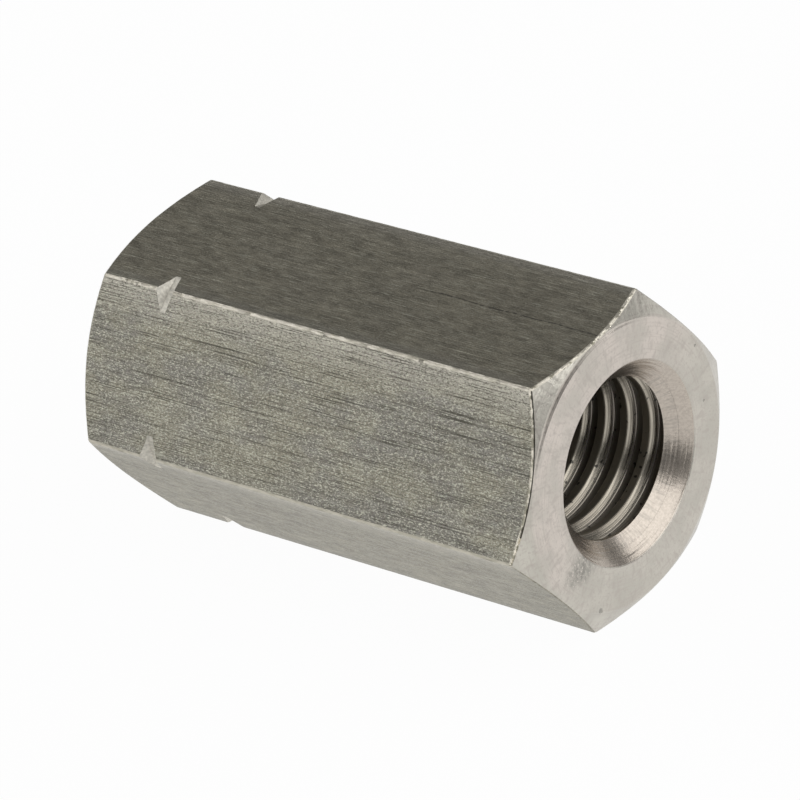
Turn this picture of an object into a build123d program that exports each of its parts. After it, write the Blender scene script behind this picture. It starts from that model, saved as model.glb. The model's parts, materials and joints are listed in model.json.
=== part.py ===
from build123d import *
from math import cos, radians, tan
import os

# A coupling nut turned from one piece of drawn hexagon bar.
# It lies on one of its flats with the bore along X and the origin in the middle of the bore.
# A rod with a right-hand thread goes in at +X. The groove round the six corners marks the
# other end, at -X, which takes a rod with a left-hand thread.
# The bore is plain here, at the diameter that it is drilled to before the threads are cut.

# Sizes in millimetres, angles in degrees

# Hexagon bar
across_flats = 18.7             # a 19 mm spanner fits: bar is always drawn a little under its size
bar_corner_radius = 0.3         # the long corners of drawn bar are slightly rounded
nut_length = 36.0               # three times the thread diameter

# Turned ends
end_face_diameter = 18.3        # flat ring left on each end, just inside the flats
end_chamfer_angle = 30.0        # between the end face and the chamfer

# Hole for the two threads
thread_diameter = 12.0
thread_pitch = 1.75
countersink_margin = 0.5        # how far the countersink's rim stands outside the thread
countersink_angle = 90.0        # full angle of the cone

# Groove that marks the left-hand end
groove_from_end = 6.0           # middle of the groove, from the end face
groove_depth = 0.6              # below the long corners
groove_width = 1.4              # at the long corners
groove_floor_width = 0.4

# Worked out from the sizes above
half_length = nut_length / 2
flat_distance = across_flats / 2
sharp_corner = flat_distance / cos(radians(30))
corner_distance = sharp_corner - bar_corner_radius * (1 / cos(radians(30)) - 1)
end_face_radius = end_face_diameter / 2
bore_radius = (thread_diameter - thread_pitch) / 2
countersink_radius = thread_diameter / 2 + countersink_margin
countersink_depth = (countersink_radius - bore_radius) / tan(radians(countersink_angle / 2))
cutter_reach = sharp_corner + nut_length / 4


def turned(profile):
    """A body of revolution about X, from points given as (along X, out from the axis)."""
    return revolve(make_face(Polyline(*profile, close=True)), Axis.X)


def hexagon_bar():
    """The length of drawn bar, with a flat underneath and a flat on top."""
    outline = Plane.YZ * RegularPolygon(flat_distance, 6, major_radius=False)
    section = fillet(outline.vertices(), bar_corner_radius)
    return extrude(section, half_length, both=True)


def chamfered_envelope():
    """What the lathe leaves when it faces and chamfers both ends: all of the nut is inside it."""
    chamfer_length = (cutter_reach - end_face_radius) * tan(radians(end_chamfer_angle))
    shoulder = half_length - chamfer_length
    return turned([
        (-half_length, 0),
        (-half_length, end_face_radius),
        (-shoulder, cutter_reach),
        (shoulder, cutter_reach),
        (half_length, end_face_radius),
        (half_length, 0),
    ])


def corner_groove():
    """The ring that a pointed tool takes off the six corners near the left-hand end."""
    middle = -half_length + groove_from_end
    floor_radius = corner_distance - groove_depth
    side_slope = (groove_width - groove_floor_width) / 2 / groove_depth
    mouth = groove_floor_width / 2 + side_slope * (cutter_reach - floor_radius)
    return turned([
        (middle - mouth, cutter_reach),
        (middle - groove_floor_width / 2, floor_radius),
        (middle + groove_floor_width / 2, floor_radius),
        (middle + mouth, cutter_reach),
    ])


def countersunk_bore():
    """The drilled hole from end to end, with a countersink at each mouth."""
    straight_end = half_length - countersink_depth
    return turned([
        (-half_length, 0),
        (-half_length, countersink_radius),
        (-straight_end, bore_radius),
        (straight_end, bore_radius),
        (half_length, countersink_radius),
        (half_length, 0),
    ])


def coupling_nut():
    """The finished nut."""
    blank = hexagon_bar() & chamfered_envelope()
    return blank - corner_groove() - countersunk_bore()


os.makedirs("parts", exist_ok=True)
nut = coupling_nut()
export_step(nut, "parts/coupling_nut.step")
print("across corners", round(2 * corner_distance, 3), "mm")
print("bore radius", round(bore_radius, 3), "mm, straight for",
      round(nut_length - 2 * countersink_depth, 3), "mm")
print("volume", round(nut.volume, 1), "mm3")
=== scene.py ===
# %% [markdown]
# # A left-right coupling nut in bare steel
#
# The real part starts as a length of drawn hexagon bar. A lathe faces and chamfers both
# ends, drills and countersinks the hole, and turns a small groove in the six corners. Then
# a right-hand thread is tapped from one end and a left-hand thread from the other.
#
# The mesh is made in the same order, so every edge comes out where a real cut would leave
# it. The finish is left to the materials: drawn flats, turned ends, and a dark thread.

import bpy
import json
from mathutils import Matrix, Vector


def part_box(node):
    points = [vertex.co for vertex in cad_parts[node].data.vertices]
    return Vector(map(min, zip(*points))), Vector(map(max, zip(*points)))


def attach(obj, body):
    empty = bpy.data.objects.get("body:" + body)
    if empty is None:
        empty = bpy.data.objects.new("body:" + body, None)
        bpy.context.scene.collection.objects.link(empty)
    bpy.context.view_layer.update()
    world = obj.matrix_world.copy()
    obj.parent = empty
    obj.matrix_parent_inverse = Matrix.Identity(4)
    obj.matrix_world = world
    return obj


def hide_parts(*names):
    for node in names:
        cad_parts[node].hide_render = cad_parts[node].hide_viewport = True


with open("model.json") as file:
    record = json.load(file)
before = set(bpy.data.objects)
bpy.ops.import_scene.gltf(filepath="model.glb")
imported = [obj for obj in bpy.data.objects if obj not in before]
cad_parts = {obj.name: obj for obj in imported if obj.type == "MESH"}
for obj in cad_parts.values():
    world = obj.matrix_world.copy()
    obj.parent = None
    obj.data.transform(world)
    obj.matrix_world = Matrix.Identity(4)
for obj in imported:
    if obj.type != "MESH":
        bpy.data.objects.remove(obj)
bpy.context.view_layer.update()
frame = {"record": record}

# %% [markdown]
# ## The sizes that the frame gives
#
# The solid model of the nut already has its length, its width across the flats and the
# sizes of its hole. They could be typed in again, but then the two models would drift apart
# as soon as one of them changed, so they are read from the frame. Metres are awkward numbers
# for so small a part: the mesh is made in millimetres, and scaled once at the end.

# %% Sizes in millimetres
import json
from math import atan2, cos, degrees, hypot, pi, radians, sin, tan

import bmesh
import bpy
from bmesh.types import BMEdge, BMFace, BMVert
from mathutils import Matrix, Quaternion, Vector, noise

MM = 0.001
low, high = (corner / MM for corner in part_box("coupling_nut"))
half_length = high.x
flat_distance = high.z
corner_distance = high.y
threaded_hole = next(mount["dims"] for mount in frame["record"]["mounts"]
                     if mount["name"] == "right_hand_thread")
hole_radius = threaded_hole["r_mm"]
countersink_depth = half_length - threaded_hole["length_mm"] / 2
print(f"length {2 * half_length:.2f}, across flats {2 * flat_distance:.2f}, "
      f"across corners {2 * corner_distance:.2f}, hole radius {hole_radius:.3f} mm")

# %% [markdown]
# ## The camera
#
# A small part is photographed with a long lens from well back, so its edges look almost
# parallel. The camera could be placed by eye, but here its direction was measured on the
# nut's own corners. It leans, so the nut lies aslant in the picture.

# %% Camera
VIEW_DISTANCE = 372.27
VIEW_AZIMUTH = radians(-42.888)             # from +X, towards -Y
VIEW_ELEVATION = radians(34.499)
VIEW_LEAN = radians(-15.808)
VIEW_AIM = Vector((0.034, 0.090, 0.053))
SENSOR = 36.0
LENS = 269.184


def sight(azimuth, elevation):
    """A unit vector that points from the nut to that side of the room."""
    return Vector((cos(elevation) * cos(azimuth), cos(elevation) * sin(azimuth), sin(elevation)))


def add_camera():
    data = bpy.data.cameras.new("camera")
    data.lens = LENS
    data.sensor_width = SENSOR
    data.clip_start = 10 * MM
    camera = bpy.data.objects.new("camera", data)
    back = sight(VIEW_AZIMUTH, VIEW_ELEVATION)
    aim = (-back).to_track_quat("-Z", "Y") @ Quaternion((0, 0, 1), VIEW_LEAN)
    place = (VIEW_AIM + back * VIEW_DISTANCE) * MM
    camera.matrix_world = Matrix.Translation(place) @ aim.to_matrix().to_4x4()
    bpy.context.scene.collection.objects.link(camera)
    bpy.context.scene.camera = camera
    return camera


camera = add_camera()
print("camera at", [round(x / MM, 2) for x in camera.matrix_world.translation], "mm")

# %% [markdown]
# ## Turning a profile
#
# Most of this part is turned, so the helper that does the turning comes first. A profile is
# a short run of points, each given as a place along the axis and a radius. The spin operator
# takes it once round X. A thread is the same operator with a lead: every step also moves it
# a little along the axis.

# %% Turning
TURN_STEPS = 192
FINISHES = ["drawn_flat", "bar_corner", "turned_end", "countersink", "thread", "marking_groove",
            "torn_edge", "burr_gap_shade"]        # a face is numbered by its finish's place in this list


def give(faces, finish):
    """Numbers the faces by their finish."""
    for face in faces:
        face.material_index = FINISHES.index(finish)


def turn(bm, points, finish, lead=0.0):
    """Turns a run of (x, radius) points once about the axis."""
    before = set(bm.faces)
    verts = [bm.verts.new((x, radius, 0)) for x, radius in points]
    edges = [bm.edges.new(pair) for pair in zip(verts, verts[1:])]
    bmesh.ops.spin(bm, geom=verts + edges, cent=(0, 0, 0), axis=(1, 0, 0), angle=2 * pi,
                   steps=TURN_STEPS, dvec=(lead / TURN_STEPS, 0, 0), use_merge=lead == 0)
    give(set(bm.faces) - before, finish)


print("one turn has", TURN_STEPS, "steps, so a round of this nut's size is out by",
      round(corner_distance * (1 - cos(pi / TURN_STEPS)), 4), "mm at most")

# %% [markdown]
# ## The turned blank
#
# A chamfered hexagon nut is the shape that a chamfered round and a hexagon have in common.
# A boolean of the two would do it. Cutting the round with one plane for each flat gives the
# same curved edges with cleaner faces, and the groove comes with it for nothing: it is only
# a dip in the profile, and what is left of it after the cuts is a mark on each corner.
#
# On this nut the end face was turned a little askew of its chamfer, so there is a fine step
# between them on one side. The step is part of the profile, and then fades out round the face.

# %% Blank
SAME_PLACE = 0.001                          # points that are closer than this are merged
END_FACE_RADIUS = 9.15
CHAMFER_ANGLE = radians(30)                 # between the end face and the chamfer
BLANK_RADIUS = 10.9                         # just outside the sharp corners
GROOVE_MIDDLE = -half_length + 6.0
GROOVE_DEPTH = 0.6
GROOVE_WIDTH = 1.4
GROOVE_FLOOR = 0.4
RIM_RADIUS = hole_radius + countersink_depth
FACE_INNER = RIM_RADIUS + 0.6               # the rim, which is off centre, is joined to this ring
FACE_STEP = 0.13
FACE_STEP_SIDE = radians(110)               # where the step is deepest, from +Y towards +Z
FACE_STEP_LEAST = 0.3 ** 4                  # share of it that is left on the other side


def groove_profile():
    """The groove's four points, from its near shoulder to its far one."""
    floor_radius = corner_distance - GROOVE_DEPTH
    slope = (GROOVE_WIDTH - GROOVE_FLOOR) / 2 / GROOVE_DEPTH
    half_floor = GROOVE_FLOOR / 2
    mouth = half_floor + slope * (BLANK_RADIUS - floor_radius)
    return [(GROOVE_MIDDLE + mouth, BLANK_RADIUS), (GROOVE_MIDDLE + half_floor, floor_radius),
            (GROOVE_MIDDLE - half_floor, floor_radius), (GROOVE_MIDDLE - mouth, BLANK_RADIUS)]


def skew_step(bm):
    """Lets the step where the chamfer starts fade out round the face."""
    for vert in bm.verts:
        x, y, z = vert.co
        if abs(x - half_length + FACE_STEP) < SAME_PLACE:
            radius = hypot(y, z)
            towards = max(0.0, cos(atan2(z, y) - FACE_STEP_SIDE))
            share = max(FACE_STEP_LEAST, towards ** 4)
            eased = END_FACE_RADIUS + (radius - END_FACE_RADIUS) * share
            vert.co = (half_length - FACE_STEP * share, y * eased / radius, z * eased / radius)


def turned_blank():
    bm = bmesh.new()
    shoulder = half_length - (BLANK_RADIUS - END_FACE_RADIUS) * tan(CHAMFER_ANGLE)
    groove = groove_profile()
    step = [(half_length, FACE_INNER), (half_length, END_FACE_RADIUS - FACE_STEP),
            (half_length - FACE_STEP, END_FACE_RADIUS - FACE_STEP / 3),
            (half_length - FACE_STEP, END_FACE_RADIUS + FACE_STEP / tan(CHAMFER_ANGLE))]
    turn(bm, step + [(shoulder, BLANK_RADIUS), groove[0]], "turned_end")
    skew_step(bm)
    turn(bm, groove, "marking_groove")
    turn(bm, [groove[3], (-shoulder, BLANK_RADIUS), (-half_length, END_FACE_RADIUS),
              (-half_length, FACE_INNER)], "turned_end")
    bmesh.ops.remove_doubles(bm, verts=bm.verts[:], dist=SAME_PLACE)
    return bm


nut = turned_blank()
print("blank:", len(nut.faces), "faces")

# %% [markdown]
# ## The six flats and the six corners
#
# Each cut removes what is outside a plane and closes the hole with one face. The bar's long
# corners aren't sharp: narrow cuts on each stand for their small radius. A bevel of the
# finished corners would have to find its way round the chamfer and the groove, and planes
# simply run through both.

# %% Flats
CORNER_RADIUS = 0.3
CORNER_CUTS = 5
FLATS = [30, 90, 150, 210, 270, 330]        # each flat's angle in degrees, from +Y towards +Z


def everything(bm):
    return bm.verts[:] + bm.edges[:] + bm.faces[:]


def only(kind, items):
    """The points, the edges or the faces among some items."""
    return [item for item in items if isinstance(item, kind)]


def cut_plane(bm, place, outward, **cleared):
    """Cuts the mesh with a plane, and gives back what lies in the cut."""
    return bmesh.ops.bisect_plane(bm, geom=everything(bm), dist=1e-5, plane_co=place,
                                  plane_no=outward, **cleared)["geom_cut"]


def slice_off(bm, angle, distance, finish):
    """Takes off what is outside a plane along the axis, and closes the cut."""
    outward = Vector((0, cos(angle), sin(angle)))
    loop = only(BMEdge, cut_plane(bm, outward * distance, outward, clear_outer=True))
    made = bmesh.ops.contextual_create(bm, geom=loop)["faces"]
    give(made, finish)
    return len(made)


def cut_hexagon(bm):
    made = sum(slice_off(bm, radians(flat), flat_distance, "drawn_flat") for flat in FLATS)
    corner_middle = (flat_distance - CORNER_RADIUS) / cos(radians(30))
    spread = radians(60) / (CORNER_CUTS + 1)
    for flat in FLATS:
        corner = radians(flat) + radians(30)
        for n in range(CORNER_CUTS):
            tilt = (n - (CORNER_CUTS - 1) / 2) * spread
            distance = corner_middle * cos(tilt) + CORNER_RADIUS
            made += slice_off(bm, corner + tilt, distance, "bar_corner")
    return made


print("faces closed by the cuts:", cut_hexagon(nut))

# %% [markdown]
# ## The thread
#
# A tap cuts a 60 degree groove and leaves a narrow flat of the drilled hole between its
# turns. Here the edge of that flat is worn to a slope, which is what shines, and the flank has
# a small ledge. One turn of the profile is spun with a lead of one pitch, so its last point
# lies where the next turn's first one does. The turn is then copied along the axis, and two
# planes trim the ends. A spin of the whole thread would give the same mesh, but much slower.

# %% Thread
PITCH = 1.75
THREAD_RADIUS = 6.0
CREST_RADIUS = hole_radius + 0.015
CREST_ROUND = 0.03
CREST_FLAT = 0.54
FLANK_SLOPE = tan(radians(30))
WORN_EDGE = (0.27, 0.35)                    # slope on the crest's near edge: along the axis, and deep
TAP_STEP_DEPTH = 0.45                       # where the tap's last tooth left a ledge in the flank
TAP_STEP = 0.05
FIRST_CREST = 2.38                          # from the end face to the first crest's near edge, at +Y
LIP_DEPTH = countersink_depth + 0.06        # behind the countersink's inner edge
HALF_GAP = 0.6                              # plain hole left on each side of the middle


def ring_edges(bm, x):
    """The open edges that lie in one plane square to the axis."""
    return [edge for edge in bm.edges
            if edge.is_boundary and all(abs(vert.co.x - x) < SAME_PLACE for vert in edge.verts)]


def thread_profile():
    """One pitch of the thread towards the mouth, with x = 0 at the crest's near edge."""
    depth = THREAD_RADIUS - CREST_RADIUS
    far_root = -CREST_FLAT - depth * FLANK_SLOPE
    worn = Vector(WORN_EDGE)
    step = Vector((worn.x + (TAP_STEP_DEPTH - worn.y) * FLANK_SLOPE, TAP_STEP_DEPTH))
    below = step + Vector((TAP_STEP, TAP_STEP))
    near_root = below.x + (depth - below.y) * FLANK_SLOPE
    points = [(far_root, depth), (-CREST_FLAT - CREST_ROUND / 2, CREST_ROUND),
              (-CREST_FLAT + CREST_ROUND, 0), (-CREST_ROUND, 0), (CREST_ROUND, CREST_ROUND), worn,
              step, below, (near_root, depth), (far_root + PITCH, depth)]
    return [(x, CREST_RADIUS + out) for x, out in points]


def cut_thread():
    """The wall of the right-hand thread, from the middle of the nut to the countersink."""
    bm = bmesh.new()
    turns = int((half_length - HALF_GAP) / PITCH) + 3       # enough to reach past both planes
    start = half_length - FIRST_CREST - (turns - 2) * PITCH
    turn(bm, [(start + x, radius) for x, radius in thread_profile()], "thread", lead=PITCH)
    first = everything(bm)
    for n in range(1, turns):
        copy = bmesh.ops.duplicate(bm, geom=first)["geom"]
        bmesh.ops.translate(bm, vec=(n * PITCH, 0, 0), verts=only(BMVert, copy))
    bmesh.ops.remove_doubles(bm, verts=bm.verts[:], dist=SAME_PLACE)
    cut_plane(bm, (HALF_GAP, 0, 0), (1, 0, 0), clear_inner=True)
    cut_plane(bm, (half_length - LIP_DEPTH, 0, 0), (1, 0, 0), clear_outer=True)
    return bm


bore = cut_thread()
print("thread:", len(bore.faces), "faces, open edges",
      len(ring_edges(bore, HALF_GAP)), len(ring_edges(bore, half_length - LIP_DEPTH)))

# %% [markdown]
# ## The countersink
#
# The countersink is a cone that leads a bolt in, and here it also cleans up the thread's
# first turn. A turned profile would need the same points as the thread's ragged end to join
# it without a gap. So a ring of edges is extruded from that end again and again instead:
# inwards to the lip, which hides the end of the thread, and out along the cone to the rim.
# Half way up is the faint step where a second cut of the tool stopped.

# %% Countersink
STEP_DEPTH = 0.72
STEP_HEIGHT = 0.012
RIM_ROUND = 0.05


def next_ring(bm, loop, x, radius, finish):
    """Extrudes a closed ring of edges, lays the new ring down, and gives back its edges."""
    grown = bmesh.ops.extrude_edge_only(bm, edges=loop)["geom"]
    fresh = set(only(BMVert, grown))
    for vert in fresh:
        angle = atan2(vert.co.z, vert.co.y)
        vert.co = (x, radius * cos(angle), radius * sin(angle))
    give(only(BMFace, grown), finish)
    return [edge for edge in only(BMEdge, grown) if all(vert in fresh for vert in edge.verts)]


def cut_countersink(bm):
    inner_x = half_length - LIP_DEPTH
    step_x = half_length - STEP_DEPTH
    step_radius = RIM_RADIUS - STEP_DEPTH
    loop = next_ring(bm, ring_edges(bm, inner_x), inner_x, hole_radius + 0.01, "thread")
    loop = next_ring(bm, loop, half_length - countersink_depth, hole_radius, "countersink")
    loop = next_ring(bm, loop, step_x - STEP_HEIGHT, step_radius, "countersink")
    loop = next_ring(bm, loop, step_x, step_radius, "countersink")
    loop = next_ring(bm, loop, half_length - RIM_ROUND, RIM_RADIUS - RIM_ROUND, "countersink")
    next_ring(bm, loop, half_length, RIM_RADIUS + RIM_ROUND / 2, "turned_end")


def close_middle(bm):
    loop = next_ring(bm, ring_edges(bm, HALF_GAP), HALF_GAP, hole_radius, "thread")
    next_ring(bm, loop, 0.0, hole_radius, "thread")


cut_countersink(bore)
close_middle(bore)
print("half of the bore:", len(bore.faces), "faces")

# %% [markdown]
# ## The left-hand thread, and one closed skin
#
# A left-hand thread is the mirror image of a right-hand one, so mirroring the whole half
# makes the far end at once. The drill wandered a little, so the bore is moved off the bar's
# middle as a whole. The bore and the outside then meet at the two rims. Their rings have
# different numbers of points, and bridging joins them all the same.

# %% Closed skin
HOLE_RUN_OUT = Vector((0, 0.25, -0.06))     # from the bar's middle to the hole's


def mirror_bore(bm):
    bmesh.ops.mirror(bm, geom=everything(bm), matrix=Matrix.Identity(4), merge_dist=SAME_PLACE,
                     axis="X")
    bmesh.ops.remove_doubles(bm, verts=bm.verts[:], dist=SAME_PLACE / 10)


def into(bm, other):
    """Moves one bmesh into another."""
    spare = bpy.data.meshes.new("spare")
    other.to_mesh(spare)
    bm.from_mesh(spare)
    bpy.data.meshes.remove(spare)
    other.free()


def join_rims(bm):
    for x in (half_length, -half_length):
        give(bmesh.ops.bridge_loops(bm, edges=ring_edges(bm, x))["faces"], "turned_end")


def open_edges(bm):
    return sum(not edge.is_manifold for edge in bm.edges)


mirror_bore(bore)
bmesh.ops.translate(bore, verts=bore.verts[:], vec=HOLE_RUN_OUT)
into(nut, bore)
join_rims(nut)
bmesh.ops.recalc_face_normals(nut, faces=nut.faces[:])
print("closed skin:", len(nut.faces), "faces,", open_edges(nut), "open edges, volume",
      round(nut.calc_volume(signed=True)), "mm3")

# %% [markdown]
# ## Edges as the tools leave them
#
# No real edge is perfectly sharp, and its thin highlight is much of what makes metal look
# like metal. A Bevel modifier would need a weight on every edge to treat them differently.
# The bevel operator takes a list of edges and a width: the groove's edges get a hair's
# breadth, and the arcs at the ends, where a chamfer runs out on a flat, get more. The arcs
# are cut into short pieces first, because the next step tears them.

# %% Eased edges
ARC_EASE = 0.13
ARC_SEGMENTS = 3
ARC_POINTS = 5                              # pieces that each step of an arc is cut into
GROOVE_EASE = 0.02


def finish_of(face):
    return FINISHES[face.material_index]


def edges_between(bm, one, other):
    """The edges where one finish meets another."""
    return [edge for edge in bm.edges
            if edge.is_manifold and {finish_of(face) for face in edge.link_faces} == {one, other}]


def ease(bm, edges, width, segments):
    return bmesh.ops.bevel(bm, geom=edges, offset=width, offset_type="OFFSET", affect="EDGES",
                           segments=segments, profile=0.5, material=-1, clamp_overlap=False)


def ease_groove(bm):
    edges = (edges_between(bm, "drawn_flat", "marking_groove")
             + edges_between(bm, "bar_corner", "marking_groove"))
    ease(bm, edges, GROOVE_EASE, 1)


def ease_arcs(bm):
    whole = edges_between(bm, "drawn_flat", "turned_end")
    bmesh.ops.subdivide_edges(bm, edges=whole, cuts=ARC_POINTS - 1)
    edges = edges_between(bm, "drawn_flat", "turned_end") + edges_between(bm, "bar_corner", "turned_end")
    return ease(bm, edges, ARC_EASE, ARC_SEGMENTS)


ease_groove(nut)
eased_arcs = ease_arcs(nut)
print("eased arcs:", len(eased_arcs["faces"]), "faces,", len(eased_arcs["verts"]), "points")

# %% [markdown]
# ## The torn burr
#
# The chamfer tool pushes a thin ragged burr over the edge of the flats. It could be sculpted,
# but that is long work for an edge a tenth of a millimetre wide. Instead the points inside
# the eased arcs are moved by smooth noise, the same on every run: most of all round the flat
# on top, where two chips also stand out, and hardly at all on the arcs that came out clean.
#
# On the front flat the burr is bent over and leaves a gap behind it, in shade. There the row of
# points next to the chamfer goes in and not out, and its strip of faces is painted dark as that shade.

# %% Burr
BURR_HEIGHT = 0.05
BURR_GRAIN = 3.2                            # bumps in a millimetre
BURR_PATCHES = 0.6                          # torn patches in a millimetre
BURR_SHARE = {90: 1.0, 150: 0.9}            # how torn the near arc of a flat is, by its angle
CALM_SHARE = 0.1                            # the same for all other arcs
GAP_FLAT = 150                              # this flat's burr is bent over
GAP_END = 1.5                               # height above the axis where its gap closes
GAP_FACES = 0.6 * ARC_EASE                  # faces deeper below the flat than this are in the gap,
GAP_POINTS = 0.4 * ARC_EASE                 # and points deeper than this go in and not out
CHIPS = {2.66: 0.3, 1.46: 0.26, 4.6: 0.06, -0.4: 0.05, -3.4: 0.04}      # height, by the Y of each
CHIP_WIDTH = 0.25                           # from a chip's tip to its foot
TOP_FROM = 0.97 * flat_distance             # what is higher than this belongs to the flat on top


def nearest_flat(point):
    """The angle, in degrees, of the flat that a point is on or next to."""
    angle = atan2(point.z, point.y)
    return min(FLATS, key=lambda flat: abs((radians(flat) - angle + pi) % (2 * pi) - pi))


def below_flat(point):
    flat = radians(nearest_flat(point))
    return flat_distance - point.y * cos(flat) - point.z * sin(flat)


def burr_share(point):
    return BURR_SHARE.get(nearest_flat(point), CALM_SHARE) if point.x > 0 else CALM_SHARE


def mark_torn(faces):
    """Gives the torn arcs their finish, and the gap behind the bent burr its painted shade."""
    for face in faces:
        middle = face.calc_center_median()
        if burr_share(middle) > CALM_SHARE:
            gap = nearest_flat(middle) == GAP_FLAT and middle.z > GAP_END
            behind = gap and below_flat(middle) > GAP_FACES
            give([face], "burr_gap_shade" if behind else "torn_edge")


def inner_points(arcs):
    """The points of the eased arcs that no flat, corner or end face touches."""
    made = set(arcs["faces"])
    outside = ("drawn_flat", "bar_corner", "turned_end")
    return [vert for vert in arcs["verts"]
            if not any(finish_of(face) in outside and face not in made for face in vert.link_faces)]


def chip_height(point):
    if point.x <= 0 or point.z <= TOP_FROM:
        return 0.0
    return sum(height * max(0, 1 - abs(point.y - place) / CHIP_WIDTH) for place, height in CHIPS.items())


def raise_burr(verts):
    """Moves points outwards and along the axis by uneven amounts."""
    for vert in verts:
        x, y, z = vert.co
        grain = noise.noise(vert.co * BURR_GRAIN) + 0.7 * noise.noise(vert.co * BURR_GRAIN * 2.7)
        patch = max(0.0, noise.noise(vert.co * BURR_PATCHES + Vector((3, 7, 1))) + 0.35)
        lift = BURR_HEIGHT * burr_share(vert.co) * (0.6 + 0.7 * patch + (0.25 + 1.6 * patch) * grain)
        if x > 0 and nearest_flat(vert.co) == GAP_FLAT and below_flat(vert.co) > GAP_POINTS:
            lift = -lift
        chip = chip_height(vert.co) * (1 + 0.3 * grain)
        forward = 0.6 * lift + chip
        outward = (lift + 0.5 * chip) / hypot(y, z)
        vert.co += Vector((forward if x > 0 else -forward, outward * y, outward * z))


mark_torn(eased_arcs["faces"])
burr_points = inner_points(eased_arcs)
raise_burr(burr_points)
print("burr:", len(burr_points), "points moved, the furthest to x =",
      round(max(vert.co.x for vert in burr_points), 3), "mm")

# %% [markdown]
# ## The worn corners
#
# Hexagon bar knocks about in racks and bins, so its long corners are dented all along, and
# one of them has a deep nick. A bump map would leave their outline dead straight. So each
# corner is cut into short pieces, and the points inside it are pressed in by noise, each
# corner by its own share.

# %% Worn corners
CORNER_POINTS = 90                          # pieces that each long corner is cut into
CORNER_WEAR = 0.06
BROAD_DENTS = 1.1                           # dents in a millimetre
FINE_DENTS = 3.3
WEAR = {30: 0.6, 90: 0.4, 150: 1.0, 210: 0.65, 270: 0.6, 330: 0.6}      # of a flat and its first corner
NICK_CORNER = 120                           # the corner's angle in degrees
NICK_X = 8.8
NICK_DEPTH = 0.09
NICK_WIDTH = 0.35                           # from its middle to its end


def corner_edges(bm):
    """The long edges on both sides of every narrow corner face."""
    return [edge for edge in bm.edges if abs(edge.verts[0].co.x - edge.verts[1].co.x) > 1
            and any(finish_of(face) == "bar_corner" for face in edge.link_faces)]


def nearest_corner(point):
    """The angle, in degrees, of the long corner that a point is next to."""
    return 60 * round(degrees(atan2(point.z, point.y)) / 60)


def corner_wear(point):
    return WEAR[(nearest_corner(point) + 30) % 360]


def wear_corners(bm):
    """Cuts the long corners into short pieces and presses their middle rows in, as knocks do."""
    bmesh.ops.subdivide_edges(bm, edges=corner_edges(bm), cuts=CORNER_POINTS - 1, use_grid_fill=True)
    rows = [vert for vert in bm.verts
            if vert.link_faces and all(finish_of(face) == "bar_corner" for face in vert.link_faces)]
    for vert in rows:
        x, y, z = vert.co
        grain = noise.noise(vert.co * BROAD_DENTS) + 0.6 * noise.noise(vert.co * FINE_DENTS)
        depth = CORNER_WEAR * corner_wear(vert.co) * max(0.0, 0.3 + 1.6 * grain)
        if nearest_corner(vert.co) == NICK_CORNER:
            depth += NICK_DEPTH * max(0.0, 1 - abs(x - NICK_X) / NICK_WIDTH)
        vert.co -= Vector((0, y, z)) * depth / hypot(y, z)
    return len(rows)


print("points on the worn corners:", wear_corners(nut))
bmesh.ops.recalc_face_normals(nut, faces=nut.faces[:])
print("with its edges worn:", len(nut.faces), "faces,", open_edges(nut), "open edges")

# %% [markdown]
# ## A place on each flat
#
# The wear on the bar follows its corners, so its finish has to know how far a point is from
# them. Object coordinates would need a formula for each of the six flats. Instead each flat
# gets a UV map in millimetres: along the bar, and across the flat from its middle line.
# Both numbers run evenly over a face, however large it is, so the map is exact.
#
# The die didn't wear evenly either, and the bar rolled more on one corner than on another:
# two numbers on each face say how coarse its flat came out, and how worn its corner is.

# %% Map and coarseness of each flat
COARSENESS = {30: 0.5, 90: 0.5, 150: 1.0, 210: 0.55, 270: 0.6, 330: 0.5}        # by the flat's angle


def map_flats(bm):
    layer = bm.loops.layers.uv.new("bar")
    coarse = bm.faces.layers.float.new("coarse")
    wear = bm.faces.layers.float.new("wear")
    for face in bm.faces:
        middle = face.calc_center_median()
        flat = nearest_flat(middle)
        face[coarse] = COARSENESS[flat]
        face[wear] = corner_wear(middle) if finish_of(face) == "bar_corner" else WEAR[flat]
        for loop in face.loops:
            x, y, z = loop.vert.co
            loop[layer].uv = (x, z * cos(radians(flat)) - y * sin(radians(flat)))


map_flats(nut)
print("faces of the flats and their arcs:", sum(finish_of(face) == "drawn_flat" for face in nut.faces))

# %% [markdown]
# ## Wiring a finish
#
# A finish is a small network of nodes. Written out socket by socket it would fill pages, so
# these helpers add one node and wire its inputs in one line. They serve the floor and the
# room as well.

# %% Node helpers
class Wiring:
    """A node tree, and short ways to add to it."""

    def __init__(self, tree):
        self.tree = tree

    def node(self, kind, inputs=(), **settings):
        """Adds a node. Inputs are (socket, value or output) pairs."""
        node = self.tree.nodes.new(kind)
        for key, value in settings.items():
            setattr(node, key, value)
        for socket, value in dict(inputs).items():
            if isinstance(value, bpy.types.NodeSocket):
                self.tree.links.new(value, node.inputs[socket])
            else:
                node.inputs[socket].default_value = value
        return node

    def math(self, operation, first, second=0.0, third=0.0):
        return self.node("ShaderNodeMath", {0: first, 1: second, 2: third}, operation=operation).outputs[0]

    def blend(self, share, first, second):
        """Mixes two colours, each a tuple or an output."""
        colors = [(*c, 1) if isinstance(c, tuple) else c for c in (first, second)]
        node = self.node("ShaderNodeMix", {0: share, 6: colors[0], 7: colors[1]}, data_type="RGBA")
        return node.outputs[2]


print("node helpers:", [name for name in vars(Wiring) if not name.startswith("_")])

# %% [markdown]
# ## A steel surface
#
# All of the nut is bare steel, so its finishes begin alike: a metallic shader, and places that
# are read from the object in millimetres. On that the class has the few patterns that every
# finish is made of: noise of a chosen size, distances, and layers of colour and relief. A number
# that is the same all over a surface is set on the shader's own socket.

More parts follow.
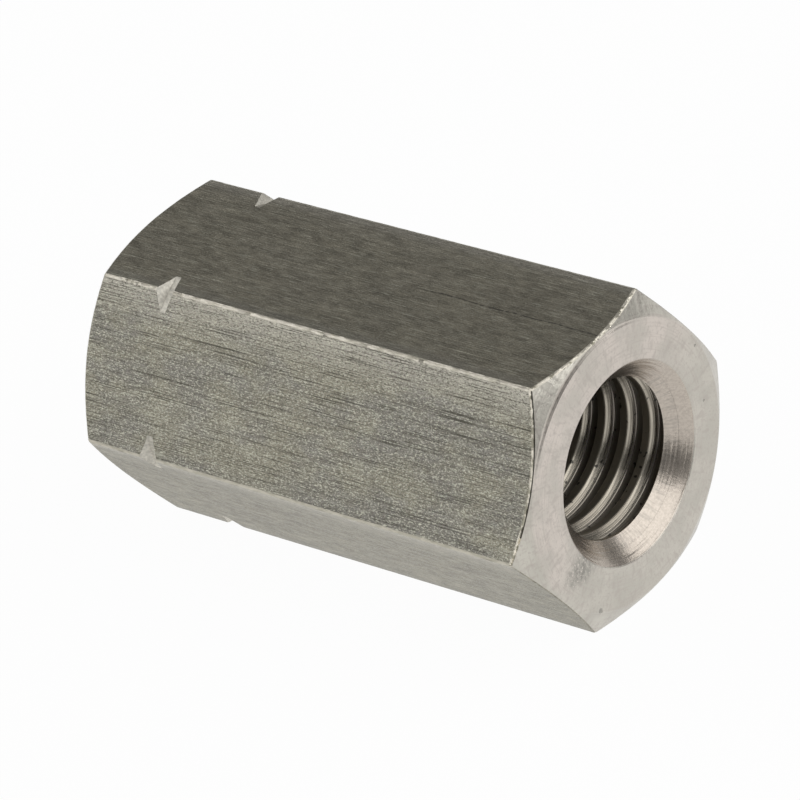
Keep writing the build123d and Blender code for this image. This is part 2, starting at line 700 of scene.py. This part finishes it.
# %% Steel helpers
class Finish(Wiring):
    """A steel surface. Its places are read in millimetres."""

    def __init__(self, name, color, roughness):
        self.material = bpy.data.materials.new(name)
        self.material.use_nodes = True
        super().__init__(self.material.node_tree)
        self.shader = self.tree.nodes["Principled BSDF"]
        self.shader.inputs["Metallic"].default_value = 1.0
        self.shader.inputs["Base Color"].default_value = (*color, 1)
        self.shader.inputs["Roughness"].default_value = roughness
        metres = self.node("ShaderNodeTexCoord").outputs["Object"]
        self.place = self.scaled(metres, (1 / MM, 1 / MM, 1 / MM))

    def scaled(self, vector, scale, shift=(0, 0, 0)):
        node = self.node("ShaderNodeMapping", {"Vector": vector, "Scale": scale, "Location": shift})
        return node.outputs["Vector"]

    def split(self, vector):
        """The parts of a vector, by the names X, Y and Z."""
        return self.node("ShaderNodeSeparateXYZ", {0: vector}).outputs

    def join(self, x, y, z):
        return self.node("ShaderNodeCombineXYZ", {0: x, 1: y, 2: z}).outputs[0]

    def times(self, *factors):
        product = factors[0]
        for factor in factors[1:]:
            product = self.math("MULTIPLY", product, factor)
        return product

    def apart(self, first, second):
        """How far two numbers are from each other."""
        return self.math("ABSOLUTE", self.math("SUBTRACT", first, second))

    def distance(self, point, scale=(1, 1, 1)):
        """How far a place is from a point, in millimetres times a scale for each axis."""
        moved = self.scaled(self.place, scale, tuple(-c * s for c, s in zip(point, scale)))
        return self.node("ShaderNodeVectorMath", {0: moved}, operation="LENGTH").outputs["Value"]

    def radius(self, center=(0, 0, 0)):
        """How far a place is from the axis, or from a line beside it."""
        return self.distance(center, (0, 1, 1))

    def attribute(self, name):
        return self.node("ShaderNodeAttribute", attribute_name=name).outputs["Fac"]

    def speckle(self, scale, shift=(0, 0, 0), detail=2.0, rough=0.5, vector=None):
        """Noise from 0 to 1, with so many bumps in a millimetre along each axis."""
        place = self.scaled(self.place if vector is None else vector, scale, shift)
        node = self.node("ShaderNodeTexNoise", {"Vector": place, "Scale": 1.0, "Detail": detail,
                                                "Roughness": rough})
        return node.outputs["Fac"]

    def between(self, value, low, high, to_low=0.0, to_high=1.0, smooth=True):
        """Turns a range of values into another, and holds still beyond its ends."""
        node = self.node("ShaderNodeMapRange", {"Value": value, "From Min": low, "From Max": high,
                                                "To Min": to_low, "To Max": to_high},
                         interpolation_type="SMOOTHSTEP" if smooth else "LINEAR")
        return node.outputs["Result"]

    def layered(self, tone, *layers):
        """Lays (share, colour) layers over a first colour, one after another."""
        for share, color in layers:
            tone = self.blend(share, tone, color)
        return tone

    def color_from(self, output):
        self.tree.links.new(output, self.shader.inputs["Base Color"])

    def roughness_from(self, output):
        self.tree.links.new(output, self.shader.inputs["Roughness"])

    def relief(self, *layers, strength=1.0):
        """Bump from (height from 0 to 1, depth in millimetres) layers, one on top of another."""
        normal = None
        for height, depth in layers:
            inputs = {"Height": height, "Distance": depth * MM, "Strength": strength}
            if normal is not None:
                inputs["Normal"] = normal
            normal = self.node("ShaderNodeBump", inputs).outputs["Normal"]
        self.tree.links.new(normal, self.shader.inputs["Normal"])


def shade(color, share):
    return tuple(c * share for c in color)


print("steel helpers:", [name for name in vars(Finish) if not name.startswith("_")])

# %% [markdown]
# ## Drawn flats
#
# The bar was pulled through a die, which left fine lines along it, and then it rolled about
# in a bin, which left small bright specks. A scanned picture of steel would show its repeats
# on so long a flat, so the marks are noise, stretched along X where they are lines. The lines
# are relief and not paint, so they catch the light differently on each flat. On top lies
# paint: what is broad comes first, then the specks, and the dark streaks and the seam last.
#
# Each flat is also worn bright along one long corner, the first one when they are counted
# from +Y towards +Z: bare along a ragged edge, and only rubbed further in.

# %% Finish of the flats
STEEL = (0.436, 0.413, 0.327)
STAIN_AND_SHADE_STEEL = (0.33, 0.317, 0.285)
CALM_STEEL = (0.375, 0.345, 0.272)
WORN_STEEL = (0.61, 0.575, 0.5)
BRIGHT_STEEL = (0.68, 0.67, 0.56)
DARK_LINE = (0.08, 0.075, 0.065)
HALF_FLAT = flat_distance * tan(radians(30))
CALMEST = 0.4                               # just below the least coarseness of a flat
SEAM_Y = 0.55                               # a long seam in the bar, on the flat on top
SEAM_WANDER = 0.5                           # how far it strays across the flat
SEAM_FROM = 2.5                             # it fades in here,
SEAM_FULL = SEAM_FROM + 3                   # and is whole from here to the near end


def seam_mark(finish):
    place = finish.split(finish.place)
    sway = finish.speckle((0.25, 0, 0), detail=3)
    middle = finish.math("MULTIPLY_ADD", sway, SEAM_WANDER, SEAM_Y - SEAM_WANDER / 2)
    line = finish.between(finish.apart(place["Y"], middle), 0.09, 0.03)
    broken = finish.between(finish.speckle((2, 0, 0), (6, 0, 0), detail=1), 0.35, 0.55, 0.35)
    along = finish.between(place["X"], SEAM_FROM, SEAM_FULL)
    on_top = finish.between(place["Z"], TOP_FROM, 0.98 * flat_distance)
    return finish.times(line, broken, along, on_top)


def worn_edge(finish, from_corner):
    """How bare the steel is near a flat's first corner."""
    wear = finish.attribute("wear")
    rags = finish.speckle((1.2, 5, 5), (2, 2, 8), detail=4, rough=0.65)
    ragged = finish.between(finish.math("MULTIPLY_ADD", rags, -1.5, from_corner), 0.1, -0.3)
    scuffs = finish.between(finish.speckle((2.5, 9, 9), (8, 1, 1)), 0.35, 0.55, 0.3)
    rubbed = finish.between(from_corner, 2.8, 0.5, 0, 0.62)
    return finish.math("MAXIMUM", finish.times(ragged, wear, scuffs), finish.times(rubbed, wear, wear))


def long_streaks(finish):
    """Dark scratches along the bar, which come in groups."""
    groups = finish.between(finish.speckle((0.25, 0.9, 0.9), (2, 5, 8), detail=1), 0.4, 0.6)
    streaks = finish.between(finish.speckle((0.2, 17, 17), (9, 2, 5)), 0.46, 0.36)
    return finish.times(streaks, finish.between(groups, 0, 1, 0.6, 1))


def drawn_flat():
    finish = Finish("drawn_flat", STEEL, 0.4)
    coarse = finish.attribute("coarse")
    across = finish.split(finish.node("ShaderNodeUVMap", uv_map="bar").outputs["UV"])["Y"]
    inset = finish.math("SUBTRACT", HALF_FLAT, finish.math("ABSOLUTE", across))
    from_corner = finish.math("ADD", across, HALF_FLAT)

    def by_coarseness(marks, calm, rough):
        """Shows marks by one share on a calm flat, and by another on the coarsest."""
        return finish.times(marks, finish.between(coarse, CALMEST, 1, calm, rough))

    lines = finish.speckle((0.12, 14, 14))
    waves = finish.speckle((0.1, 4, 4), (5, 1, 2))
    grain = finish.speckle((8, 10, 10), (1, 4, 2), detail=1)
    clouds = finish.speckle((0.2, 0.33, 0.33), (7, 3, 9), detail=3, rough=0.6)
    bands = finish.speckle((0.1, 1.9, 1.9), (6, 2, 3), detail=3, rough=0.6)
    mottle = finish.between(finish.speckle((0.9, 2.4, 2.4), (4, 8, 6), detail=4, rough=0.65),
                            0.68, 0.32, smooth=False)
    specks = finish.speckle((6, 11, 11), (3, 9, 4), rough=0.7)
    pepper = finish.speckle((5, 11, 11), (6, 6, 2), rough=0.7)
    wisps = finish.speckle((0.7, 12, 12), (2, 7, 5), rough=0.6)
    finish.color_from(finish.layered(
        STEEL,
        (finish.between(clouds, 0.42, 0.6), STAIN_AND_SHADE_STEEL),
        (finish.between(coarse, 0.95, 0.65, 0, 0.85), CALM_STEEL),
        (finish.between(bands, 0.56, 0.4, 0, 0.25), shade(STEEL, 0.6)),
        (by_coarseness(mottle, 1.0, 0.34), shade(CALM_STEEL, 0.46)),
        # painted shade: each flat darkens within about a millimetre of its edges, standing in for the dark
        # that a real flat mirrors where it rolls off towards its corners
        (finish.between(inset, 1.1, 0.4, 0, 0.4), shade(STAIN_AND_SHADE_STEEL, 0.8)),
        (worn_edge(finish, from_corner), WORN_STEEL),
        (by_coarseness(finish.between(specks, 0.5, 0.62), 0.12, 0.95), BRIGHT_STEEL),
        (by_coarseness(finish.between(pepper, 0.5, 0.36), 0.2, 0.8), shade(STEEL, 0.4)),
        (finish.between(wisps, 0.55, 0.7, 0, 0.4), BRIGHT_STEEL),
        (by_coarseness(long_streaks(finish), 0.3, 0.8), shade(STEEL, 0.2)),
        (finish.times(seam_mark(finish), 0.8), DARK_LINE)))
    finish.roughness_from(finish.between(grain, 0.2, 0.8, 0.34, 0.48))
    finish.relief((lines, 0.07), (waves, 0.012), (grain, 0.05), strength=coarse)
    return finish.material


flat_steel = drawn_flat()
print("drawn flats:", len(flat_steel.node_tree.nodes), "nodes")

# %% [markdown]
# ## Corners and torn edges
#
# The long corners are rubbed bright, more on some than on others, which the numbers on their
# faces say. The torn burr is brighter still: its metal is fresh, and its colour is lifted further
# as a painted highlight. One finish for both would be simpler, but the burr shines in patches and
# the corners in a fine grain. The gap behind the bent burr lies in shade, so that shade is painted
# as a plain dark finish and no more.

# %% Finish of corners and burr
def bar_corner():
    finish = Finish("bar_corner", WORN_STEEL, 0.42)
    grain = finish.speckle((1.6, 5, 5), detail=4, rough=0.65)
    tone = finish.blend(finish.attribute("wear"), shade(STEEL, 1.05), shade(WORN_STEEL, 1.05))
    finish.color_from(finish.blend(finish.between(grain, 0.42, 0.6, 0, 0.6), tone, shade(STEEL, 0.9)))
    finish.relief((grain, 0.04))
    return finish.material


def torn_edge():
    finish = Finish("torn_edge", WORN_STEEL, 0.45)
    grain = finish.speckle((2.5, 2.5, 2.5), detail=3)
    torn = finish.math("MULTIPLY_ADD", finish.attribute("coarse"), -0.22, grain)
    patch = finish.between(finish.speckle((0.6, 0.6, 0.6), (2, 6, 1), detail=1), 0.4, 0.6, 0.7)
    bright = finish.times(finish.between(torn, 0.22, 0.34), patch)
    # fresh metal, and painted highlight: the colour is lifted near white so the burr shines even where a
    # facet faces away from the lamps
    finish.color_from(finish.blend(bright, STEEL, shade(WORN_STEEL, 1.55)))
    finish.relief((grain, 0.02))
    return finish.material


def burr_gap_shade():
    # painted shade: a plain dark colour stands for the shade in the gap behind the bent burr
    return Finish("burr_gap_shade", shade(DARK_LINE, 1.8), 0.6).material


corner_steel = bar_corner()
torn_steel = torn_edge()
gap_shade = burr_gap_shade()
print("corner and burr finishes:", corner_steel.name, torn_steel.name, gap_shade.name)

# %% [markdown]
# ## Turned ends
#
# A lathe tool leaves rings, and where it chatters it leaves short marks across them. A wave
# texture gives rings that are far too even, so both are noise again: rings are read along the
# radius, and chatter along the direction from the axis. Neither has a seam, as an angle
# would have.
#
# The near end also has a stain, five small dents, a corner of its chamfer that is painted lighter,
# and a dark line painted as the shade of the step between face and chamfer.

# %% Finish of the turned ends
FRESH_STEEL = (0.65, 0.59, 0.535)
CHAMFER_STEEL = (0.60, 0.575, 0.51)
STAIN_PLACE = (half_length, -5.97, -3.49)
STAIN_SIZE = (1, 0.7, 1.0)                  # larger numbers make it smaller along that axis
PITS = [(-5.36, -7.31, 0.22), (-5.97, -7.86, 0.16), (8.23, 3.26, 0.12), (7.84, -0.68, 0.1),
        (-3.05, -5.2, 0.16)]                # small dents in the end: Y, Z and radius


def turned_marks(finish, center, ring_scale, wander, chatter_scale):
    """Rings round the axis, and chatter across them: two noises from 0 to 1."""
    from_axis = finish.scaled(finish.place, (0, 1, 1), (0, -center[1], -center[2]))
    radius = finish.radius(center)
    near = finish.split(finish.scaled(from_axis, (1, wander, wander)))
    rings = finish.join(finish.times(radius, ring_scale), near["Y"], near["Z"])
    outward = finish.node("ShaderNodeVectorMath", {0: from_axis}, operation="NORMALIZE").outputs["Vector"]
    round_axis = finish.split(finish.scaled(outward, (1, chatter_scale, chatter_scale)))
    chatter = finish.join(finish.times(radius, 1.3), round_axis["Y"], round_axis["Z"])
    return finish.speckle((1, 1, 1), vector=rings), finish.speckle((1, 1, 1), (7, 7, 7), vector=chatter)


def end_stain(finish):
    """Two shares: the stain's mottled dark, and the bright flecks in it."""
    rim = finish.speckle((0.9, 0.9, 0.9), (5, 1, 1))
    away = finish.math("MULTIPLY_ADD", rim, 1.2, finish.distance(STAIN_PLACE, STAIN_SIZE))
    stain = finish.between(away, 2.0, 1.1)
    mottle = finish.speckle((3, 3, 3), (1, 2, 3), detail=4, rough=0.7)
    flecks = finish.speckle((7, 7, 7), (8, 2, 3))
    return (finish.times(stain, finish.between(mottle, 0.4, 0.6, 0.25, 0.75)),
            finish.times(stain, finish.between(flecks, 0.6, 0.66, 0, 0.6)))


def end_dents(finish):
    dents = 0.0
    for y, z, size in PITS:
        dent = finish.between(finish.distance((half_length, y, z)), size, size * 0.4)
        dents = finish.math("MAXIMUM", dents, dent)
    return dents


def lighter_corner_patch(finish, place):
    """The part of the top corner, on the viewer's side, that is painted lighter."""
    return finish.times(finish.between(place["Z"], 8.3, 9.2), finish.between(place["Y"], 0.5, -1.5))


def step_shade_line(finish, place):
    """Painted shade: a dark line along the step between face and chamfer, where the step is deep."""
    side = finish.math("MULTIPLY_ADD", place["Y"], cos(FACE_STEP_SIDE),
                       finish.times(place["Z"], sin(FACE_STEP_SIDE)))
    deep = finish.between(finish.math("DIVIDE", side, finish.radius()), 0.84, 0.95)
    line = finish.between(finish.apart(finish.radius(), END_FACE_RADIUS - 0.65 * FACE_STEP), 0.07, 0.04)
    return finish.times(line, deep)


def turned_end():
    finish = Finish("turned_end", FRESH_STEEL, 0.36)
    place = finish.split(finish.place)
    near_end = finish.between(place["X"], 0, 1)
    chamfer = finish.between(finish.radius(), END_FACE_RADIUS - 0.1, END_FACE_RADIUS + 0.3)
    below = finish.math("MULTIPLY_ADD", place["Y"], -0.5, place["Z"])
    clouds = finish.speckle((0.5, 0.45, 0.45), (4, 4, 1), detail=3)
    grain = finish.speckle((5, 5, 5), detail=3)
    rings, chatter = turned_marks(finish, (0, 0, 0), 8.0, 0.4, 26.0)
    stain, flecks = end_stain(finish)
    dents = end_dents(finish)
    finish.color_from(finish.layered(
        FRESH_STEEL,
        (finish.between(below, 3.5, -2, 0, 0.8), shade(CHAMFER_STEEL, 0.95)),
        (chamfer, CHAMFER_STEEL),
        (finish.between(clouds, 0.35, 0.65, 0, 0.6), shade(CHAMFER_STEEL, 0.8)),
        (finish.between(chatter, 0.5, 0.3, 0, 0.5), shade(FRESH_STEEL, 0.7)),
        (finish.between(rings, 0.5, 0.3, 0, 0.5), shade(FRESH_STEEL, 0.75)),
        (finish.between(grain, 0.5, 0.3, 0, 0.6), shade(FRESH_STEEL, 0.7)),
        (stain, shade(STAIN_AND_SHADE_STEEL, 0.7)),
        (flecks, shade(FRESH_STEEL, 1.4)),
        (finish.times(dents, 0.6), shade(STAIN_AND_SHADE_STEEL, 0.7)),
        # painted lighter: a patch of the chamfer near the top corner
        (finish.times(lighter_corner_patch(finish, place), near_end, chamfer, 0.7), shade(CHAMFER_STEEL, 1.4)),
        # painted shade: the dark line that the step shows where its slope faces a darker part of the room
        (finish.times(step_shade_line(finish, place), near_end, 0.55), DARK_LINE)))
    finish.roughness_from(finish.between(grain, 0.2, 0.8, 0.3, 0.42))
    finish.relief((rings, 0.012), (chatter, 0.02), (grain, 0.012), (dents, -0.05), (stain, 0.01))
    return finish.material


end_steel = turned_end()
print("turned ends:", len(end_steel.node_tree.nodes), "nodes")

# %% [markdown]
# ## Countersink, thread and groove
#
# The countersink was cut last and nothing has rubbed it, so it is glossier than the end
# face. Its rings are centred on the hole and not on the bar, and the inner half of its cone
# is the rougher one.
#
# A tap leaves each part of a thread different: the slope on the crest shines, and the flat of
# the hole and the flank are dull. Separate faces could carry separate finishes. The distance
# from the axis already tells these parts apart, so one finish serves them all. The marking
# groove is matt, with a little grain.

# %% Finish of the hole and the groove
CONE_STEEL = (0.52, 0.465, 0.405)
SLOPE_STEEL = ((0.26, 0.235, 0.195), (0.48, 0.44, 0.37))        # between two marks, and on a mark
FLANK_STEEL = (0.34, 0.31, 0.26)
CREASE_STEEL = (0.13, 0.12, 0.1)
LEDGE_STEEL = (0.18, 0.165, 0.14)
CREST_STEEL = (0.37, 0.34, 0.285)
CREASE_DEPTH = 0.2                          # a dark line half way down the worn slope


def countersink():
    finish = Finish("countersink", CONE_STEEL, 0.27)
    rings, chatter = turned_marks(finish, HOLE_RUN_OUT, 7.0, 0.3, 30.0)
    step_radius = RIM_RADIUS - STEP_DEPTH
    inner = finish.between(finish.radius(HOLE_RUN_OUT), step_radius + 0.15, step_radius - 0.1)
    grain = finish.speckle((6, 6, 6))
    tone = finish.blend(finish.between(grain, 0.3, 0.7), CONE_STEEL, shade(CONE_STEEL, 0.85))
    rough = finish.times(finish.between(chatter, 0.55, 0.35, 0, 0.3), inner)
    finish.color_from(finish.blend(rough, tone, shade(STAIN_AND_SHADE_STEEL, 0.7)))
    finish.relief((rings, 0.03), (chatter, 0.004), (grain, 0.005))
    return finish.material


def thread_finish():
    finish = Finish("thread", FLANK_STEEL, 0.2)
    marks, chatter = turned_marks(finish, HOLE_RUN_OUT, 14.0, 0.3, 20.0)
    depth = finish.math("SUBTRACT", finish.radius(HOLE_RUN_OUT), CREST_RADIUS)
    crest = finish.between(depth, 0.05, 0.02)
    flank = finish.between(depth, WORN_EDGE[1] + 0.01, WORN_EDGE[1] + 0.04)
    ledge = finish.between(finish.apart(depth, TAP_STEP_DEPTH + TAP_STEP / 2), TAP_STEP, TAP_STEP * 0.6)
    specks = finish.speckle((2.2, 2.2, 2.2), (3, 3, 3), detail=1)
    finish.color_from(finish.layered(
        SLOPE_STEEL[0],
        (finish.between(marks, 0.35, 0.65), SLOPE_STEEL[1]),
        (finish.between(finish.apart(depth, CREASE_DEPTH), 0.045, 0.02, 0, 0.4), CREASE_STEEL),
        (flank, FLANK_STEEL),
        (ledge, LEDGE_STEEL),
        (crest, CREST_STEEL),
        (finish.between(specks, 0.7, 0.74), DARK_LINE)))
    dull = finish.math("MAXIMUM", crest, finish.math("SUBTRACT", flank, ledge))
    finish.roughness_from(finish.between(dull, 0, 1, 0.2, 0.5))
    finish.relief((marks, 0.008), (chatter, 0.004))
    return finish.material


def marking_groove():
    finish = Finish("marking_groove", shade(FRESH_STEEL, 0.8), 0.5)
    grain = finish.speckle((4, 6, 6), detail=3)
    finish.color_from(finish.blend(finish.between(grain, 0.3, 0.7),
                                   shade(CHAMFER_STEEL, 0.85), shade(CHAMFER_STEEL, 1.15)))
    finish.relief((grain, 0.008))
    return finish.material


cone_steel = countersink()
thread_steel = thread_finish()
groove_steel = marking_groove()
print("hole and groove finishes:", cone_steel.name, thread_steel.name, groove_steel.name)

# %% [markdown]
# ## The finished piece
#
# The real nut is one piece of steel, so it is one mesh, and each face has the number of its
# finish. Smooth shading alone would smear the edges between two cuts. Edges sharper than a
# small angle are kept sharp, and weighted normals let each large face keep its own direction
# right up to its eased edge, which would take several more loops of faces otherwise.

# %% One mesh
SHARP_ANGLE = radians(12.5)


def add_piece(bm, name, materials):
    mesh = bpy.data.meshes.new(name)
    for material in materials:
        mesh.materials.append(material)
    bmesh.ops.scale(bm, verts=bm.verts[:], vec=(MM, MM, MM))
    bm.to_mesh(mesh)
    bm.free()
    mesh.polygons.foreach_set("use_smooth", [True] * len(mesh.polygons))
    mesh.set_sharp_from_angle(angle=SHARP_ANGLE)
    piece = bpy.data.objects.new(name, mesh)
    bpy.context.scene.collection.objects.link(piece)
    weights = piece.modifiers.new("weights", "WEIGHTED_NORMAL")
    weights.keep_sharp = True
    weights.weight = 100                    # the largest faces decide
    return piece


steel_nut = add_piece(nut, "coupling_nut_steel", [flat_steel, corner_steel, end_steel, cone_steel,
                                                  thread_steel, groove_steel, torn_steel, gap_shade])
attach(steel_nut, "root")
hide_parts("coupling_nut")
print("the nut:", len(steel_nut.data.polygons), "faces,", len(steel_nut.data.materials), "finishes")

# %% [markdown]
# ## The floor
#
# The picture has a plain white ground. A pale floor could be lit until it turns white, but
# the steel would then burn out with it. So the floor's own material looks white to the camera
# and to anything that mirrors it, and is a matt pale grey to all other light. A little of the
# grey still shows through, and with it the nut's shadow.

# %% Floor
FLOOR_SIZE = 1200.0
FLOOR_GREY = 0.9
FLOOR_WHITE = 0.97                          # share of plain white in what the camera sees


def white_floor():
    material = bpy.data.materials.new("floor")
    material.use_nodes = True
    wiring = Wiring(material.node_tree)
    matt = wiring.tree.nodes["Principled BSDF"]
    matt.inputs["Base Color"].default_value = (FLOOR_GREY, FLOOR_GREY, FLOOR_GREY, 1)
    matt.inputs["Roughness"].default_value = 0.9
    matt.inputs["Specular IOR Level"].default_value = 0.0
    rays = wiring.node("ShaderNodeLightPath").outputs
    seen = wiring.math("MAXIMUM", rays["Is Camera Ray"], rays["Is Glossy Ray"])
    seen = wiring.math("MAXIMUM", seen, rays["Is Transmission Ray"])
    share = wiring.math("MULTIPLY", seen, FLOOR_WHITE)
    white = wiring.node("ShaderNodeEmission").outputs[0]
    mix = wiring.node("ShaderNodeMixShader", {0: share, 1: matt.outputs[0], 2: white}).outputs[0]
    wiring.tree.links.new(mix, wiring.tree.nodes["Material Output"].inputs["Surface"])
    return material


def add_floor():
    bm = bmesh.new()
    bmesh.ops.create_grid(bm, x_segments=1, y_segments=1, size=FLOOR_SIZE / 2 * MM)
    bmesh.ops.translate(bm, verts=bm.verts[:], vec=(0, 0, low.z * MM))
    data = bpy.data.meshes.new("floor")
    bm.to_mesh(data)
    bm.free()
    data.materials.append(white_floor())
    floor = bpy.data.objects.new("floor", data)
    bpy.context.scene.collection.objects.link(floor)
    return floor


floor = add_floor()
print("floor at z =", round(floor.data.vertices[0].co.z / MM, 2), "mm")

# %% [markdown]
# ## Soft boxes and a dim room
#
# Bare metal shows what it mirrors, so each lamp stands where one surface looks. The left box
# lights the front flat, and the right one the chamfer and the inside of the hole. The flat on
# top mirrors the dim card at the back, which is why it is dark. The end face and the lower
# flat mirror the white floor. A picture of a studio as the world would do the same work, but
# with lamps each surface can be set by itself.

# %% Lamps and world
ROOM_GREY = (0.2, 0.2, 0.2)


def add_lamp(name, azimuth, elevation, distance, width, height, level):
    """A soft box that faces the nut. Its level is how bright it looks, with white paper as 1."""
    data = bpy.data.lights.new(name, "AREA")
    data.shape = "RECTANGLE"
    data.size = width * MM
    data.size_y = height * MM
    data.energy = level * pi * data.size * data.size_y
    lamp = bpy.data.objects.new(name, data)
    away = sight(radians(azimuth), radians(elevation))
    turned = away.to_track_quat("Z", "Y").to_matrix().to_4x4()
    lamp.matrix_world = Matrix.Translation(away * distance * MM) @ turned
    bpy.context.scene.collection.objects.link(lamp)
    return lamp


def add_world():
    """A dim grey room for the metal to mirror. The camera itself sees white beyond the floor."""
    world = bpy.data.worlds.new("room")
    world.use_nodes = True
    wiring = Wiring(world.node_tree)
    seen = wiring.node("ShaderNodeLightPath").outputs["Is Camera Ray"]
    color = wiring.blend(seen, ROOM_GREY, (1, 1, 1))
    wiring.tree.links.new(color, wiring.tree.nodes["Background"].inputs["Color"])
    bpy.context.scene.world = world


right = add_lamp("right_softbox", 24, 39, distance=800, width=1250, height=600, level=1.6)
left = add_lamp("left_softbox", 205, 38, distance=800, width=850, height=600, level=1.36)
back = add_lamp("back_card", 137, 42, distance=900, width=900, height=500, level=0.215)
add_world()
bpy.context.scene.view_settings.view_transform = "Standard"
print("lamps, in watts:", [round(lamp.data.energy, 2) for lamp in (right, left, back)])

# %% [markdown]
